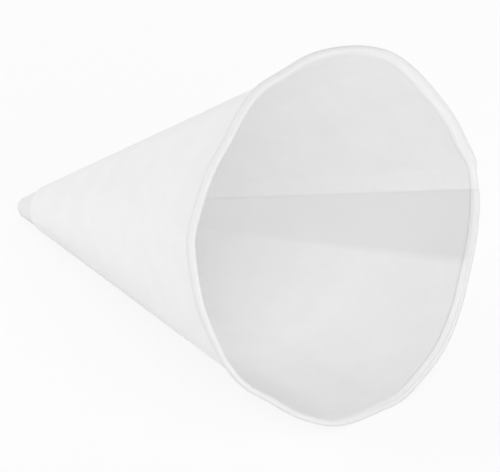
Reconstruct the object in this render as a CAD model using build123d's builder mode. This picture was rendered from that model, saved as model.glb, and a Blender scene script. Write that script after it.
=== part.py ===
from build123d import *
import os
from math import asin, atan, cos, degrees, hypot, radians, sin, tan

# A rolled paper cone cup, lying on its side as it comes to rest.
# Millimetres, +Z up. The closed nose points to -X and the open mouth to +X.
# The origin is the bottom centre of the cup's own box, on the surface it lies on.
os.makedirs("parts", exist_ok=True)

# Driving dimensions
PLY = 0.25                # thickness of the paper
MOUTH_RADIUS = 34.15      # axis to the middle of the rolled rim, on average
CONE_HEIGHT = 99.5        # from the point where the cone's lines meet to the rim's middle plane
ROLL_RADIUS = 0.85        # outside radius of the rolled rim
ROLL_TURN = 276           # how far the paper turns over in the roll, in degrees
ROLL_PRESS = 0.04         # how far the roll's pressed paper swells past the wall on each face
ROLL_ROOT = 0.6           # how far that swelling runs down the wall
NOSE_RADIUS = 2.15        # the wound nose ends in a small ball
NOSE_STEP = 0.1           # the nose's paper sits this far inside the outer wrap's line
WRAP_END = 13.2           # the outer wrap stops here, short of the nose
CORE_LAP = 0.8            # the nose's own paper lines the wrap this far past the wrap's end
CORE_RADIUS = 2.6         # the inside ends in a small hollow of this radius
FLAT_SPOT = 15.2          # length of rim that has settled flat on the surface
FLAT_BEND = 0.27          # how far that spot stands off the average radius
FLAT_BOW = 0.03           # how far its middle bows up, so that its ends carry the cup
STEPS = 43                # steps in one turn of the sheet
SEAM_STEPS = 10.5         # steps from the inner lap's free edge to the middle of the flat spot
LAP_STEPS = 3             # steps where the outer lap covers the inner one

# How the handled mouth stands off its average radius, as angle from +Y and distance,
# from the seam to the flat spot and from there round over the top
BENDS_TO_FLOOR = [(-4, 0.45), (-24, -1.30), (-44, -1.20), (-62, -0.35)]
BENDS_FROM_FLOOR = [
    (-117, 0.25), (-139, 0.25), (-159, 0.70), (-179, 0.40), (-197, 0.70), (-217, -0.95),
    (-235, -1.50), (-253, -0.70), (-274, -0.45), (-291, 0.60), (-308, 1.30),
    (-329, 0.50), (-346, 0.70), (-358, 0.85),
]


def polar(radius, angle):
    return Vector(radius * cos(radians(angle)), radius * sin(radians(angle)))


# The mouth's line down the middle of the roll, with its settled spot kept straight
FLAT_RADIUS = MOUTH_RADIUS + FLAT_BEND
spot = [
    Vector(side * FLAT_SPOT / 2, FLAT_BOW * (1 - side**2) - FLAT_RADIUS)
    for side in (1, 0.5, 0, -0.5, -1)
]
to_floor = [polar(MOUTH_RADIUS + bend, angle) for angle, bend in BENDS_TO_FLOOR]
from_floor = [polar(MOUTH_RADIUS + bend, angle) for angle, bend in BENDS_FROM_FLOOR]
with BuildLine() as mouth_line:
    Spline(*to_floor, *spot, *from_floor, periodic=True)

mouth = mouth_line.edge()
seam_share = mouth.param_at_point(Vector(0, FLAT_BOW - FLAT_RADIUS)) - SEAM_STEPS / STEPS


def mouth_at(turn):
    """Middle of the roll after a share of a turn from the seam, with the winding's growth."""
    bend = mouth @ ((seam_share + turn) % 1)
    return bend.normalized() * (bend.length + PLY * turn)


# The wall leaves the roll on its inner side, with its outer face at the roll's inside radius
ROLL_BORE = ROLL_RADIUS - PLY
SLANT = hypot(MOUTH_RADIUS, CONE_HEIGHT)
HALF_ANGLE = atan(MOUTH_RADIUS / CONE_HEIGHT) - asin(ROLL_BORE / SLANT)
RADIAL_PLY = PLY / cos(HALF_ANGLE)

# The cup lies on its nose ball and on the rolled rim, so its axis rises towards the mouth
NOSE_TIP = NOSE_STEP / tan(HALF_ANGLE)
NOSE_CENTRE = NOSE_TIP + NOSE_RADIUS / sin(HALF_ANGLE)
ROLL_FACE = ROLL_RADIUS + ROLL_PRESS
FLOOR_RADIUS = FLAT_RADIUS + PLY * SEAM_STEPS / STEPS
REACH = hypot(FLOOR_RADIUS, CONE_HEIGHT - NOSE_CENTRE)
LIE_ANGLE = atan(FLOOR_RADIUS / (CONE_HEIGHT - NOSE_CENTRE)) + asin(
    (ROLL_FACE - NOSE_RADIUS) / REACH
)

# Inside, the wrap's face ends where the nose's own paper takes over
CORE_OPEN = WRAP_END + CORE_LAP

# The lying cup's plane: z runs along its axis to the mouth, x towards the seam's side
mouth_box = mouth.bounding_box()
nose_back = NOSE_CENTRE * cos(LIE_ANGLE) - NOSE_RADIUS
mouth_front = CONE_HEIGHT * cos(LIE_ANGLE) + FLOOR_RADIUS * sin(LIE_ANGLE) + ROLL_FACE
cup_plane = Plane(
    origin=(
        -(nose_back + mouth_front) / 2,
        -(mouth_box.min.X + mouth_box.max.X) / 2,
        NOSE_RADIUS - NOSE_CENTRE * sin(LIE_ANGLE),
    ),
    x_dir=(0, 1, 0),
    z_dir=(cos(LIE_ANGLE), 0, sin(LIE_ANGLE)),
)
side_plane = Plane(origin=cup_plane.origin, x_dir=cup_plane.x_dir, z_dir=-cup_plane.y_dir)
cup_axis = Axis(cup_plane.origin, cup_plane.z_dir)


def sheet_at(turn, height, plies):
    """Point on the wound sheet: plies 0 is its inner face and 1 its outer face."""
    middle = mouth_at(turn)
    share = (height - WRAP_END) / (CONE_HEIGHT - WRAP_END)
    bend = (middle.length - PLY * turn - MOUTH_RADIUS) * share
    radius = height * tan(HALF_ANGLE) + bend + (plies + turn - 1) * RADIAL_PLY
    return middle.normalized() * radius


def sheet_core(low, height, plies, first_step):
    """Everything inside a face of the sheet over one full turn, bent flat from step to step."""
    steps = range(first_step, first_step + STEPS + 1)
    rings = []
    for level in (low, height):
        plane = cup_plane.offset(level)
        rings.append([plane.from_local_coords(sheet_at(step / STEPS, level, plies)) for step in steps])
    bottom, top = rings
    faces = [Face(Wire.make_polygon(ring)) for ring in rings]
    for here in range(STEPS + 1):
        after = (here + 1) % (STEPS + 1)
        faces.append(Face(Wire.make_polygon([bottom[here], bottom[after], top[after]])))
        faces.append(Face(Wire.make_polygon([bottom[here], top[after], top[here]])))
    return Solid(Shell(faces))


def blunt_cone(tip, ball_radius, top):
    """Half outline of a cone about the cup's axis, its point rounded to a ball."""
    slope = degrees(HALF_ANGLE)
    with BuildSketch(side_plane) as outline:
        with BuildLine():
            ball = CenterArc((0, tip + ball_radius / sin(HALF_ANGLE)), ball_radius, -90, 90 - slope)
            Polyline(ball @ 1, ((top - tip) * tan(HALF_ANGLE), top), (0, top), ball @ 0)
        make_face()
    return outline.sketch


# The paper's path in the roll: outwards and over from the wall, with its swollen root
with BuildSketch() as hook:
    with BuildLine():
        first = 180 - degrees(HALF_ANGLE)
        last = first - ROLL_TURN
        bore = ROLL_BORE - ROLL_PRESS
        root = polar(ROLL_ROOT, first + 90)
        CenterArc((0, 0), ROLL_FACE, first, -ROLL_TURN)
        CenterArc((0, 0), bore, first, -ROLL_TURN)
        Line(polar(ROLL_FACE, last), polar(bore, last))
        Line(polar(ROLL_FACE, first), polar(ROLL_FACE, first) + root)
        Line(polar(bore, first), polar(bore, first) + root)
        Line(polar(ROLL_FACE, first) + root, polar(bore, first) + root)
    make_face()


def hook_at(step):
    """The roll's section at a step of the turn, square to the mouth's line."""
    before, here, after = [mouth_at((step + side) / STEPS) for side in (-1, 0, 1)]
    heading = (after - before).normalized()
    plane = Plane(origin=here, x_dir=(-heading.Y, heading.X), z_dir=heading)
    return cup_plane.offset(CONE_HEIGHT).location * plane.location * hook.sketch.face()


# The rolled rim runs a full turn and on through the lap, where it is two plies thick
with BuildPart() as roll:
    half = STEPS // 2
    for first_step, last_step in ((0, half), (half, STEPS + LAP_STEPS)):
        sections = [hook_at(step) for step in range(first_step, last_step + 1)]
        loft(sections, ruled=True, clean=False)

# The cup: the wound cone and its closed nose, hollowed, with the roll round its mouth.
# The steps stay separate faces, so nothing here is cleaned.
with BuildPart() as cone_cup:
    add(sheet_core(WRAP_END, CONE_HEIGHT, 1, LAP_STEPS), clean=False)
    revolve(blunt_cone(NOSE_TIP, NOSE_RADIUS, CORE_OPEN), axis=cup_axis, clean=False)
    add(sheet_core(CORE_OPEN, CONE_HEIGHT, 0, 0), clean=False, mode=Mode.SUBTRACT)
    hollow_tip = NOSE_TIP + PLY / sin(HALF_ANGLE)
    revolve(
        blunt_cone(hollow_tip, CORE_RADIUS, CORE_OPEN + PLY),
        axis=cup_axis,
        clean=False,
        mode=Mode.SUBTRACT,
    )
    add(roll.part, clean=False)

cone_cup.part.label = "cone_cup"
export_step(cone_cup.part, "parts/cone_cup.step")
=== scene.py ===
from math import asin, atan, cos, degrees, hypot, pi, radians, sin, tan

import bpy
import numpy as np
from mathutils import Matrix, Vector


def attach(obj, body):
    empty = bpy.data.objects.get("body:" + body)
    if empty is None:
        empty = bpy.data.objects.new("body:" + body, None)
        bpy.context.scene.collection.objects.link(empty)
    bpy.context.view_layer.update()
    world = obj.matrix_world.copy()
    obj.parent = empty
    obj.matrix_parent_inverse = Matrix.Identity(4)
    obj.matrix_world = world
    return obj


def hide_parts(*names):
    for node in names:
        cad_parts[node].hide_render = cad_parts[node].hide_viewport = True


# A rolled paper cone cup lying on its side, in metres, in the CAD part's own frame.
# Angles round the cup run from its +Y side towards its top, in degrees.
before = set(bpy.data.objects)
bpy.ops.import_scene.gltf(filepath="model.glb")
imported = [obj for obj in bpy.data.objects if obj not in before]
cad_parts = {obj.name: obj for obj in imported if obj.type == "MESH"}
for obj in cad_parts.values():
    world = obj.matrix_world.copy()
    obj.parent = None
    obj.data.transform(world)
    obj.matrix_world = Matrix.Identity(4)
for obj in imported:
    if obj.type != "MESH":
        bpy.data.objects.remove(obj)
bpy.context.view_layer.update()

MM = 0.001
PLY = 0.25 * MM                 # thickness of the paper
MOUTH_RADIUS = 34.15 * MM       # axis to the middle of the rolled rim, on average
CONE_HEIGHT = 99.5 * MM         # from the point where the cone's lines meet to the rim
ROLL_RADIUS = 0.85 * MM         # outside radius of the rolled rim
ROLL_PRESS = 0.04 * MM          # how far the solid part's roll swells past its wall
ROLL_TURN = 276                 # how far the paper turns over in the roll, in degrees
FLAT_BEND = 0.27 * MM           # how far the rim's settled spot stands off the average
NOSE_RADIUS = 2.15 * MM         # the wound nose ends in a small ball
NOSE_STEP = 0.1 * MM            # the nose's paper sits this far inside the outer wrap
WRAP_END = 13.2 * MM            # the outer wrap stops here, short of the nose
CORE_LAP = 0.8 * MM             # the nose's own paper lines the wrap this far past its end
CORE_RADIUS = 2.6 * MM          # the inside ends in a small hollow
SEAM_ANGLE = -5                 # the inner lap's free edge
LAP_TURN = 22 / 360             # share of a turn where the outer lap covers the inner one
FLOOR_TURN = 10.5 / 43          # share of a turn from the solid's seam to where the rim rests
MOUTH_ASIDE = -0.1978 * MM      # the bent mouth's box is centred, so the axis stands this far off

# The cone and the way it lies, worked out as for the solid part
ROLL_BORE = ROLL_RADIUS - PLY
HALF_ANGLE = atan(MOUTH_RADIUS / CONE_HEIGHT) - asin(ROLL_BORE / hypot(MOUTH_RADIUS, CONE_HEIGHT))
SLOPE = tan(HALF_ANGLE)
NOSE_TIP = NOSE_STEP / SLOPE
NOSE_CENTRE = NOSE_TIP + NOSE_RADIUS / sin(HALF_ANGLE)
CORE_OPEN = WRAP_END + CORE_LAP
ROLL_FACE = ROLL_RADIUS + ROLL_PRESS
FLOOR_RADIUS = MOUTH_RADIUS + FLAT_BEND + PLY * FLOOR_TURN
REACH = hypot(FLOOR_RADIUS, CONE_HEIGHT - NOSE_CENTRE)
LIE_ANGLE = atan(FLOOR_RADIUS / (CONE_HEIGHT - NOSE_CENTRE)) + asin(
    (ROLL_FACE - NOSE_RADIUS) / REACH
)
ALONG = np.array([cos(LIE_ANGLE), 0, sin(LIE_ANGLE)])
ASIDE = np.array([0, 1, 0])
ABOVE = np.array([-sin(LIE_ANGLE), 0, cos(LIE_ANGLE)])
NOSE_BACK = NOSE_CENTRE * cos(LIE_ANGLE) - NOSE_RADIUS
MOUTH_FRONT = CONE_HEIGHT * cos(LIE_ANGLE) + FLOOR_RADIUS * sin(LIE_ANGLE) + ROLL_FACE
# The point where the cone's lines meet
APEX = np.array([
    -(NOSE_BACK + MOUTH_FRONT) / 2,
    MOUTH_ASIDE,
    NOSE_RADIUS - NOSE_CENTRE * sin(LIE_ANGLE),
])

# How far the handled wall stands off a true circle at the mouth: (angle, distance in mm)
WALL_BENDS = [
    (-4, 0.40), (-12, -0.28), (-22, -1.15), (-33, -1.70), (-44, -1.30), (-58, -0.47),
    (-70, -0.07), (-82, 0.55), (-90, 0.27), (-98, 0.60), (-107, 1.20), (-120, 0.66),
    (-136, 0.10), (-146, 0.88), (-156, 0.96), (-165, 0.50), (-176, 0.50), (-186, 0.40),
    (-198, 0.50), (-210, -0.56), (-222, -1.30), (-233, -1.95), (-243, -1.30), (-253, -0.65),
    (-264, -1.05), (-276, -0.36), (-288, 0.16), (-300, 0.80), (-308, 0.95), (-318, 0.20),
    (-330, -0.38), (-341, -0.18), (-350, -0.16), (-357, 0.55),
]
# Sharp creases in the mouth: (angle, height in mm, reach in degrees)
WALL_CREASES = [(3.2, 0.36, 3.0), (161.8, 0.28, 3.0)]
# The rolled rim's half width and half height, in mm, where handling has pressed it
ROLL_WIDTHS = [
    (-4, 0.80), (2, 0.80), (8, 1.08), (20, 1.10), (45, 1.10), (55, 0.90), (80, 0.85),
    (120, 0.85), (160, 0.85), (185, 0.80), (205, 0.62), (235, 0.60), (250, 0.62),
    (262, 0.78), (285, 0.85), (340, 0.85),
]
ROLL_HEIGHTS = [
    (-4, 0.80), (2, 0.78), (10, 0.72), (45, 0.74), (60, 0.85), (160, 0.85), (185, 0.82),
    (205, 0.70), (235, 0.68), (250, 0.70), (262, 0.82), (285, 0.85), (340, 0.85),
]


def round_the_mouth(table, angles):
    """Smooth closed curve through (angle, value) pairs, read at the given angles."""
    pairs = sorted((-angle % 360, value) for angle, value in table)
    at = np.array([pair[0] for pair in pairs])
    value = np.tile([pair[1] for pair in pairs], 3)
    at = np.concatenate([at - 360, at, at + 360])
    slope = np.gradient(value, at)
    place = np.mod(-angles, 360)
    left = np.searchsorted(at, place, side="right") - 1
    gap = at[left + 1] - at[left]
    t = (place - at[left]) / gap
    ends = (2 * t**3 - 3 * t**2 + 1) * value[left] + (3 * t**2 - 2 * t**3) * value[left + 1]
    bows = (t**3 - 2 * t**2 + t) * slope[left] + (t**3 - t**2) * slope[left + 1]
    return ends + bows * gap


def wall_bend(angles):
    """How far the wall stands off a true circle at the mouth."""
    bend = round_the_mouth(WALL_BENDS, angles)
    for angle, height, reach in WALL_CREASES:
        off = np.mod(angles - angle + 180, 360) - 180
        bend = bend + height * np.exp(-np.sqrt(off**2 + 0.36) / reach)
    return bend * MM


def in_frame(radius, angle, height):
    """Points by distance from the cup's axis, angle and height, in the part's frame."""
    turn = np.radians(angle)
    return (
        APEX
        + (radius * np.cos(turn))[..., None] * ASIDE
        + (radius * np.sin(turn))[..., None] * ABOVE
        + height[..., None] * ALONG
    )


def new_piece(name, points, faces, sharp_above=50):
    """A smooth-shaded mesh piece that rides on the cup."""
    mesh = bpy.data.meshes.new(name)
    mesh.from_pydata(points.reshape(-1, 3).tolist(), [], faces)
    mesh.polygons.foreach_set("use_smooth", [True] * len(mesh.polygons))
    mesh.set_sharp_from_angle(angle=radians(sharp_above))
    piece = bpy.data.objects.new(name, mesh)
    bpy.context.scene.collection.objects.link(piece)
    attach(piece, "root")
    return piece


def grid_faces(rows, columns, closed_rows=False, closed_columns=False):
    """Quads over a grid of points, counted row by row."""
    faces = []
    for row in range(rows if closed_rows else rows - 1):
        after = (row + 1) % rows
        for column in range(columns if closed_columns else columns - 1):
            beside = (column + 1) % columns
            faces.append((
                row * columns + column,
                row * columns + beside,
                after * columns + beside,
                after * columns + column,
            ))
    return faces


def step_up(values, start, end):
    """0 before start, 1 after end, smooth between."""
    t = np.clip((values - start) / (end - start), 0, 1)
    return t * t * (3 - 2 * t)


def mark(piece, name, values):
    """Keeps a share for each point: how far it lies in the lap or in the roll, and so how much
    painted shade it takes.
    """
    layer = piece.data.attributes.new(name, "FLOAT", "POINT")
    layer.data.foreach_set("value", values.astype(np.float32).ravel())


WINDING = 1.06 * PLY            # growth of the sheet's distance from the axis in one turn
STATIONS = 420                  # sections of the sheet round its turn and its lap
WALL_ROWS = 34                  # rows of points up the wall
RIM_ROWS = 24                   # closer rows in its last stretch
RIM_STRETCH = 2.4 * MM          # length of that stretch
CURL_ROWS = 34                  # rows round the roll
NEST = 0.20 * MM                # how much smaller the outer lap's curl is, to nest in the inner's
NEST_TURNS = (0.976, 0.986)     # shares of a turn where it grows smaller
EDGE_PRESS = 0.6                # how much thinner the inner lap's free edge is pressed
EDGE_TURN = 1.6 / 360           # and over what share of a turn


def ply_middle(turn, angle):
    """The middle of the ply up the wall and over the roll, and its length past the wall's top."""
    bend = wall_bend(angle)
    slope = SLOPE + bend / (CONE_HEIGHT - WRAP_END)
    lean = np.arctan(slope)
    nested = NEST * step_up(turn, *NEST_TURNS)
    wide = round_the_mouth(ROLL_WIDTHS, angle) * MM - nested - PLY / 2
    high = round_the_mouth(ROLL_HEIGHTS, angle) * MM - nested - PLY / 2

    # The roll is an oval that meets the wall along the wall's own slope
    growth = (turn - 0.5) * WINDING
    reach = np.sqrt((wide * np.cos(lean)) ** 2 + (high * np.sin(lean)) ** 2) / np.cos(lean)
    centre = CONE_HEIGHT * SLOPE + bend + growth + reach
    first = pi - np.arctan(high / wide * slope)
    leave = (CONE_HEIGHT + high * np.sin(first))[:, None]

    low = np.linspace(WRAP_END, CONE_HEIGHT - RIM_STRETCH, WALL_ROWS)
    near = np.linspace(0, 1, RIM_ROWS)[None, 1:]
    up_wall = np.tile(low, (len(turn), 1))
    heights = np.concatenate([up_wall, low[-1] + (leave - low[-1]) * near], axis=1)
    share = (heights - WRAP_END) / (CONE_HEIGHT - WRAP_END)
    radii = heights * SLOPE + bend[:, None] * share + growth[:, None]
    wall_top = heights.shape[1] - 1

    curl = first[:, None] - radians(ROLL_TURN) * np.linspace(0, 1, CURL_ROWS)[None, 1:]
    radii = np.concatenate([radii, centre[:, None] + wide[:, None] * np.cos(curl)], axis=1)
    heights = np.concatenate([heights, CONE_HEIGHT + high[:, None] * np.sin(curl)], axis=1)
    run = np.hypot(np.diff(radii, axis=1), np.diff(heights, axis=1))
    run = np.concatenate([np.zeros((len(turn), 1)), np.cumsum(run, axis=1)], axis=1)
    return radii, heights, run - run[:, [wall_top]]


LIP = 0.10 * MM                 # a thin ridge inside the rim, just below the roll
LIP_DOWN = 0.45 * MM            # how far that ridge lies below the roll
LIP_WIDTH = 0.24 * MM
GROOVE = 0.11 * MM              # and the crease between ridge and roll
GROOVE_UP = 0.40 * MM
GROOVE_WIDTH = 0.22 * MM
CREASE_LEAST = 0.35             # both are fainter away from the seam
CREASE_FADES = (70, 95)         # degrees past the seam where they grow fainter
CREASE_RETURNS = (325, 350)     # and where they come back
CREASE_RETURN = 0.4


def rim_crease(past, off_seam):
    """How far the ridge and the crease move the ply where the wall turns into the roll."""
    ridge = LIP * np.exp(-(((past + LIP_DOWN) / LIP_WIDTH) ** 2))
    crease = GROOVE * np.exp(-(((past - GROOVE_UP) / GROOVE_WIDTH) ** 2))
    marked = CREASE_LEAST + (1 - CREASE_LEAST) * (1 - step_up(off_seam, *CREASE_FADES))
    marked += CREASE_RETURN * step_up(off_seam, *CREASE_RETURNS)
    return (ridge - crease) * marked[:, None]


def inwards(radii, heights):
    """Directions square to the ply, towards the inside of the cup."""
    along_r = np.gradient(radii, axis=1)
    along_h = np.gradient(heights, axis=1)
    length = np.hypot(along_r, along_h)
    return -along_h / length, along_r / length


DOUBLED_EDGE = (21, 26)         # degrees past the seam where the two-ply zone ends
LAP_SHADE_RISE = (0.25, 1)        # the lap's painted shade shows more towards the mouth: shares of the height
ROLL_SHADE_FROM = (-0.1 * MM, 0.5 * MM)     # length past the wall's top where the roll's painted shade starts


def wound_sheet():
    """The whole sheet from the nose's wrap to the end of its curl, one ply thick."""
    turn = np.linspace(0, 1 + LAP_TURN, STATIONS)
    angle = SEAM_ANGLE - 360 * turn
    off_seam = np.mod(SEAM_ANGLE - angle, 360)
    radii, heights, past = ply_middle(turn, angle)
    crease = rim_crease(past, off_seam)
    in_r, in_h = inwards(radii, heights)
    radii = radii + in_r * crease
    heights = heights + in_h * crease
    in_r, in_h = inwards(radii, heights)

    # Both faces of the ply, as one closed loop round its section, thinner at the inner free edge
    half = PLY / 2
    inside = half - PLY * EDGE_PRESS * (1 - step_up(turn, 0, EDGE_TURN))[:, None]
    inner = in_frame(radii + in_r * inside, angle[:, None], heights + in_h * inside)
    outer = in_frame(radii - in_r * half, angle[:, None], heights - in_h * half)
    points = np.concatenate([outer, inner[:, ::-1]], axis=1)
    loop = points.shape[1]
    faces = grid_faces(STATIONS, loop, closed_columns=True)
    for row in (0, STATIONS - 1):
        start = row * loop
        for column in range(loop // 2 - 1):
            quad = (
                start + column,
                start + column + 1,
                start + loop - 2 - column,
                start + loop - 1 - column,
            )
            faces.append(quad if row else quad[::-1])

    sheet = new_piece("wound_sheet", points, faces)
    share = np.concatenate([heights, heights[:, ::-1]], axis=1) / CONE_HEIGHT
    # Painted shade: the lap and the roll are marked for darker paper colours
    lapped = (1 - step_up(off_seam, *DOUBLED_EDGE))[:, None]
    roll_shade = step_up(past, *ROLL_SHADE_FROM)
    mark(sheet, "lap_shade", lapped * step_up(share, *LAP_SHADE_RISE))
    mark(sheet, "roll_shade", np.concatenate([roll_shade, roll_shade[:, ::-1]], axis=1))
    return sheet


NOSE_STATIONS = 192             # columns of points round the nose
BALL_ROWS = 18
BODY_ROWS = 34
HOLLOW_ROWS = 14
POLE_GAP = 0.5                  # degrees left open at each pole, closed by one small face
NOSE_PLY = 0.12 * MM            # step of the nose's own winding
NOSE_PITCH = 26 * MM            # rise of that step's line in one turn
NOSE_SEAM = 150                 # angle where that line starts
SEAM_FADE = (0.6 * MM, 2.4 * MM)        # heights over the nose's end where the step grows
FOLD_DEPTH = 0.05 * MM          # shallow folds towards the tip
FOLD_COUNT = 5
FOLD_TWIST = 2.2 * MM           # height in which the folds turn by a radian
FOLD_STARTS = (0.2 * MM, 1.2 * MM)
FOLD_ENDS = (3 * MM, 7 * MM)
NOSE_SHADE = 0.5                 # painted shade: the nose takes half of the roll's painted darkening


def wound_nose():
    """The closed nose: the inner paper's end, wound round to a small ball, with its hollow."""
    angle = np.linspace(0, 360, NOSE_STATIONS, endpoint=False)[:, None]
    pole = 90 - POLE_GAP
    ball = np.radians(np.linspace(-pole, -degrees(HALF_ANGLE), BALL_ROWS))
    ball_h = NOSE_CENTRE + NOSE_RADIUS * np.sin(ball)
    body_h = np.linspace(ball_h[-1], CORE_OPEN, BODY_ROWS)[1:]
    outer_r = np.concatenate([NOSE_RADIUS * np.cos(ball), (body_h - NOSE_TIP) * SLOPE])
    outer_h = np.concatenate([ball_h, body_h])

    hollow_tip = NOSE_TIP + PLY / sin(HALF_ANGLE)
    hollow_centre = hollow_tip + CORE_RADIUS / sin(HALF_ANGLE)
    bowl = np.radians(np.linspace(-degrees(HALF_ANGLE), -pole, HOLLOW_ROWS))
    bowl_h = hollow_centre + CORE_RADIUS * np.sin(bowl)
    throat_h = np.linspace(CORE_OPEN, bowl_h[0], HOLLOW_ROWS)[:-1]
    inner_r = np.concatenate([(throat_h - hollow_tip) * SLOPE, CORE_RADIUS * np.cos(bowl)])
    inner_h = np.concatenate([throat_h, bowl_h])

    # The outer face shows its winding as a low step, and shallow folds towards the tip
    rise = (outer_h - outer_h[0])[None, :]
    wind = np.mod((angle - NOSE_SEAM) / 360 + rise / NOSE_PITCH, 1)
    folds = FOLD_DEPTH * np.sin(np.radians(angle * FOLD_COUNT) + rise / FOLD_TWIST)
    folds *= step_up(rise, *FOLD_STARTS) * (1 - step_up(rise, *FOLD_ENDS))
    skin = outer_r[None, :] - NOSE_PLY * wind * step_up(rise, *SEAM_FADE) + folds
    radii = np.concatenate([skin, np.tile(inner_r, (NOSE_STATIONS, 1))], axis=1)
    heights = np.tile(np.concatenate([outer_h, inner_h]), (NOSE_STATIONS, 1))
    points = in_frame(radii, angle, heights)

    columns = points.shape[1]
    faces = [face[::-1] for face in grid_faces(NOSE_STATIONS, columns, closed_rows=True)]
    ends = [[row * columns + column for row in range(NOSE_STATIONS)] for column in (0, columns - 1)]
    faces.append(ends[0][::-1])
    faces.append(ends[1])
    nose = new_piece("wound_nose", points, faces, sharp_above=35)
    # Painted shade: half of the roll's darker colour over the whole nose
    mark(nose, "roll_shade", np.full(NOSE_STATIONS * columns, NOSE_SHADE))
    return nose


class Socket:
    """A node's output that takes part in plain arithmetic."""

    def __init__(self, paint, value):
        self.paint = paint
        self.value = value

    def maths(self, operation, other):
        return self.paint.node("ShaderNodeMath", {"operation": operation}, [self, other])

    def __add__(self, other):
        return self.maths("ADD", other)

    def __mul__(self, other):
        return self.maths("MULTIPLY", other)

    __radd__ = __add__
    __rmul__ = __mul__


class Paint:
    """Builds the nodes of a material or of the world round the shader it starts with."""

    def __init__(self, owner, shader="Principled BSDF"):
        owner.use_nodes = True
        self.tree = owner.node_tree
        self.shader = self.tree.nodes[shader]

    def node(self, kind, settings, inputs, output=0):
        """Any node: its kind, then its settings, then its input sockets in order or by name."""
        made = self.tree.nodes.new(kind)
        for key, value in settings.items():
            setattr(made, key, value)
        named = inputs.items() if isinstance(inputs, dict) else enumerate(inputs)
        for key, value in named:
            self.join(value, made.inputs[key])
        return Socket(self, made.outputs[output])

    def join(self, value, socket):
        """Links a value to an input socket, or sets the socket where the value is constant."""
        value = value.value if isinstance(value, Socket) else value
        if isinstance(value, bpy.types.NodeSocket):
            self.tree.links.new(value, socket)
        else:
            socket.default_value = value

    def feed(self, name, value):
        """Fills one of the shader's own sockets."""
        self.join(value, self.shader.inputs[name])

    def place(self, stretch=(1, 1, 1)):
        """Position on the object in millimetres, stretched along the axes."""
        spot = self.node("ShaderNodeTexCoord", {}, {}, "Object")
        scale = [share / MM for share in stretch]
        return self.node("ShaderNodeVectorMath", {"operation": "MULTIPLY"}, [spot, scale])

    def noise(self, place, scale, detail, roughness):
        return self.node(
            "ShaderNodeTexNoise",
            {"noise_dimensions": "3D"},
            {"Vector": place, "Scale": scale, "Detail": detail, "Roughness": roughness},
        )

    def kept(self, name):
        """A share kept on the piece's points."""
        return self.node("ShaderNodeAttribute", {"attribute_name": name}, {}, "Fac")

    def blend(self, share, first, second):
        """A colour between two others."""
        return self.node(
            "ShaderNodeMix",
            {"data_type": "RGBA"},
            {"Factor": share, 6: first, 7: second},
            2,
        )

    def spread(self, value, low, high, to_low, to_high):
        """A value's range mapped onto another, held at its ends."""
        return self.node(
            "ShaderNodeMapRange",
            {"clamp": True},
            [value, low, high, to_low, to_high],
        )


PAPER_LIGHT = (0.882, 0.882, 0.882, 1)
PAPER_SHADE = (0.863, 0.863, 0.864, 1)
PAPER_LAP_SHADE = (0.785, 0.785, 0.789, 1)        # painted shade: the lap is darker, for the light that two plies let through less
PAPER_ROLL_SHADE = (0.775, 0.775, 0.780, 1)         # painted shade: the roll is darker, so that it renders no brighter than the wall
PAPER_SHINE = 0.1


def white_paper():
    """Uncoated bleached cup paper: cloudy formation, loose fibres and a faint tooth, with painted
    shade on the lap, the roll and the nose.
    """
    material = bpy.data.materials.new("white_paper")
    paint = Paint(material)
    place = paint.place()
    clouds = paint.noise(place, scale=0.16, detail=3, roughness=0.55)
    flecks = paint.noise(place, scale=0.9, detail=4, roughness=0.65)
    fibres = paint.noise(paint.place((1, 0.22, 0.22)), scale=2.6, detail=2, roughness=0.6)
    cross_fibres = paint.noise(paint.place((0.25, 1, 0.9)), scale=2.1, detail=2, roughness=0.6)
    tooth = paint.noise(place, scale=5.5, detail=2, roughness=0.6)

    cloudy = paint.spread(clouds * 0.65 + flecks * 0.35, 0.38, 0.62, 0, 1)
    paper = paint.blend(cloudy, PAPER_SHADE, PAPER_LIGHT)
    # Painted shade: darker paper on the lap, and on the roll and the nose
    paper = paint.blend(paint.kept("lap_shade"), paper, PAPER_LAP_SHADE)
    paper = paint.blend(paint.kept("roll_shade"), paper, PAPER_ROLL_SHADE)
    felt = fibres * 0.5 + cross_fibres * 0.5
    height = felt * 0.6 + tooth * 0.25 + flecks * 0.35 + clouds * 1.2
    bump = paint.node(
        "ShaderNodeBump",
        {},
        {"Strength": 0.5, "Distance": 0.03 * MM, "Height": height},
    )
    paint.feed("Base Color", paper)
    paint.feed("Roughness", paint.spread(felt, 0.35, 0.65, 0.82, 0.94))
    paint.feed("Specular IOR Level", PAPER_SHINE)
    paint.feed("Normal", bump)
    return material


paper = white_paper()
for piece in (wound_sheet(), wound_nose()):
    piece.data.materials.append(paper)
    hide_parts("cone_cup")


FLOOR_REACH = 9.0               # far enough to fill every view, in metres
FLOOR_WHITENING = 0.85          # share of plain white the camera sees on the floor


def studio_floor():
    """A wide white floor that keeps the cup's soft shadow, faint to the camera."""
    material = bpy.data.materials.new("studio_floor")
    paint = Paint(material)
    paint.feed("Base Color", (0.9, 0.9, 0.9, 1))
    paint.feed("Roughness", 0.9)
    lit = paint.shader.outputs[0]
    white = paint.node("ShaderNodeEmission", {}, {"Color": (1, 1, 1, 1), "Strength": 1.0})
    seen = paint.node("ShaderNodeLightPath", {}, {}, "Is Camera Ray")
    shown = paint.node("ShaderNodeMixShader", {}, [seen * FLOOR_WHITENING, lit, white])
    paint.join(shown, paint.tree.nodes["Material Output"].inputs["Surface"])

    corners = [(-1, -1), (1, -1), (1, 1), (-1, 1)]
    mesh = bpy.data.meshes.new("studio_floor")
    mesh.from_pydata([(x * FLOOR_REACH, y * FLOOR_REACH, 0) for x, y in corners], [], [(0, 1, 2, 3)])
    mesh.materials.append(material)
    floor = bpy.data.objects.new("studio_floor", mesh)
    bpy.context.scene.collection.objects.link(floor)


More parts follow.
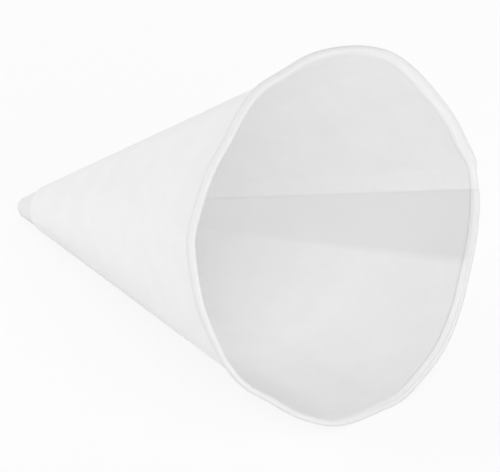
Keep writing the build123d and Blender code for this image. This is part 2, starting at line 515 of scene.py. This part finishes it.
LAMP_AIM = Vector((0, 0, 0.03))
LAMPS = [                       # name, place and size in metres, watts
    ("left", (-1.2, -0.9, 0.6), 1.2, 13.8),
    ("front", (1.36, -0.42, 0.58), 1.2, 12.4),
    ("above_mouth", (0.7, -0.1, 1.4), 1.0, 5.6),
    ("behind", (-0.5, 1.3, 0.9), 1.2, 6.0),
]


def soft_light(name, place, size, watts):
    """A square softbox aimed at the cup."""
    lamp = bpy.data.lights.new(name, "AREA")
    lamp.shape = "SQUARE"
    lamp.size = size
    lamp.energy = watts
    light = bpy.data.objects.new(name, lamp)
    light.location = place
    light.rotation_euler = (LAMP_AIM - Vector(place)).to_track_quat("-Z", "Y").to_euler()
    bpy.context.scene.collection.objects.link(light)


SURROUND = 0.34                 # strength of the pale light from all round


def white_surround():
    """Pale light all round, plain white where the camera looks past the floor."""
    world = bpy.data.worlds.new("white_surround")
    paint = Paint(world, "Background")
    seen = paint.node("ShaderNodeLightPath", {}, {}, "Is Camera Ray")
    paint.feed("Color", (1, 1, 1, 1))
    paint.feed("Strength", seen * (1 - SURROUND) + SURROUND)
    bpy.context.scene.world = world


CAMERA_AZIMUTH = radians(47.989)    # the photograph's direction, from the -Y side towards +X
CAMERA_RISE = radians(30.0)         # and how far it looks down
CAMERA_AWAY = 4.1                   # far off, because the photograph hardly converges
FRAME_WIDTH = 500 / 5.345 * MM      # the photograph is 500 pixels wide, at 5.345 to a millimetre
AIM_LEFT = 16.17 * MM               # the view's centre lies this far left of the mouth's centre
AIM_DOWN = 0.143 * MM               # and this far below it
SENSOR_WIDTH = 9                    # in mm, small to keep the lens short


def photo_camera():
    """The photograph's own view, with the mouth's centre where it shows there."""
    back = Vector((
        sin(CAMERA_AZIMUTH) * cos(CAMERA_RISE),
        -cos(CAMERA_AZIMUTH) * cos(CAMERA_RISE),
        sin(CAMERA_RISE),
    ))
    right = Vector((cos(CAMERA_AZIMUTH), sin(CAMERA_AZIMUTH), 0))
    up = back.cross(right)
    mouth_centre = Vector(APEX + CONE_HEIGHT * ALONG)
    aim = mouth_centre - AIM_LEFT * right - AIM_DOWN * up
    data = bpy.data.cameras.new("photo_camera")
    data.sensor_width = SENSOR_WIDTH
    data.lens = SENSOR_WIDTH * CAMERA_AWAY / FRAME_WIDTH
    camera = bpy.data.objects.new("photo_camera", data)
    camera.location = aim + CAMERA_AWAY * back
    camera.rotation_euler = back.to_track_quat("Z", "Y").to_euler()
    bpy.context.scene.collection.objects.link(camera)
    bpy.context.scene.camera = camera


studio_floor()
for lamp in LAMPS:
    soft_light(*lamp)
white_surround()
photo_camera()
bpy.context.scene.view_settings.view_transform = "Standard"
